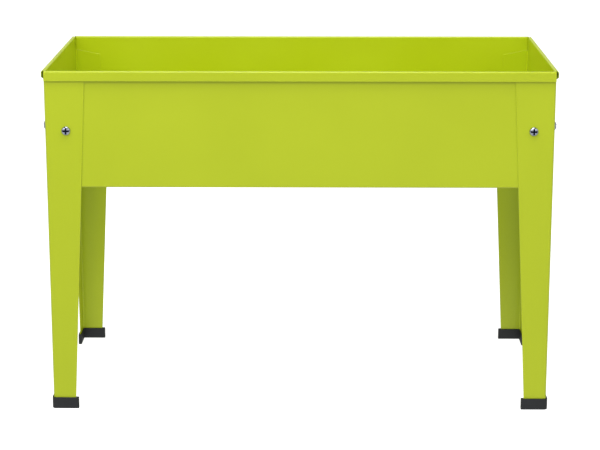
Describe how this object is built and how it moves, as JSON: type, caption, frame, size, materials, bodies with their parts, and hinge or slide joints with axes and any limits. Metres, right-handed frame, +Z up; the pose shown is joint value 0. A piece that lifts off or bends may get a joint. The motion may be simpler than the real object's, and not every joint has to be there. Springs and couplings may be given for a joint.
{
  "type": "raised planter on legs",
  "caption": "Rectangular sheet steel planter trough with folded lips, bolted to tapered angle legs that stand in plastic foot caps.",
  "frame": {"origin": "on the ground under the middle of the planter", "axes": "+X along the trough's length to the right, +Y from front to back, +Z up"},
  "size_m": [0.753, 0.353, 0.516],
  "materials": {
    "lime_coat": "satin lime green powder coat on sheet steel",
    "charcoal_plastic": "matte moulded plastic",
    "zinc_plate": "bright zinc plate"
  },
  "bodies": {
    "root": {"trough_wrap": "lime_coat", "left_end_panel": "lime_coat", "right_end_panel": "lime_coat", "front_left_leg": "lime_coat", "front_right_leg": "lime_coat", "back_left_leg": "lime_coat", "back_right_leg": "lime_coat", "front_left_foot_cap": "charcoal_plastic", "front_right_foot_cap": "charcoal_plastic", "back_left_foot_cap": "charcoal_plastic", "back_right_foot_cap": "charcoal_plastic", "bolt_front_left_wall": "zinc_plate", "bolt_front_left_end": "zinc_plate", "bolt_front_right_wall": "zinc_plate", "bolt_front_right_end": "zinc_plate", "bolt_back_left_wall": "zinc_plate", "bolt_back_left_end": "zinc_plate", "bolt_back_right_wall": "zinc_plate", "bolt_back_right_end": "zinc_plate", "washer_front_left_wall": "zinc_plate", "washer_front_left_end": "zinc_plate", "washer_front_right_wall": "zinc_plate", "washer_front_right_end": "zinc_plate", "washer_back_left_wall": "zinc_plate", "washer_back_left_end": "zinc_plate", "washer_back_right_wall": "zinc_plate", "washer_back_right_end": "zinc_plate", "nut_front_left_wall": "zinc_plate", "nut_front_left_end": "zinc_plate", "nut_front_right_wall": "zinc_plate", "nut_front_right_end": "zinc_plate", "nut_back_left_wall": "zinc_plate", "nut_back_left_end": "zinc_plate", "nut_back_right_wall": "zinc_plate", "nut_back_right_end": "zinc_plate"}
  },
  "joints": []
}
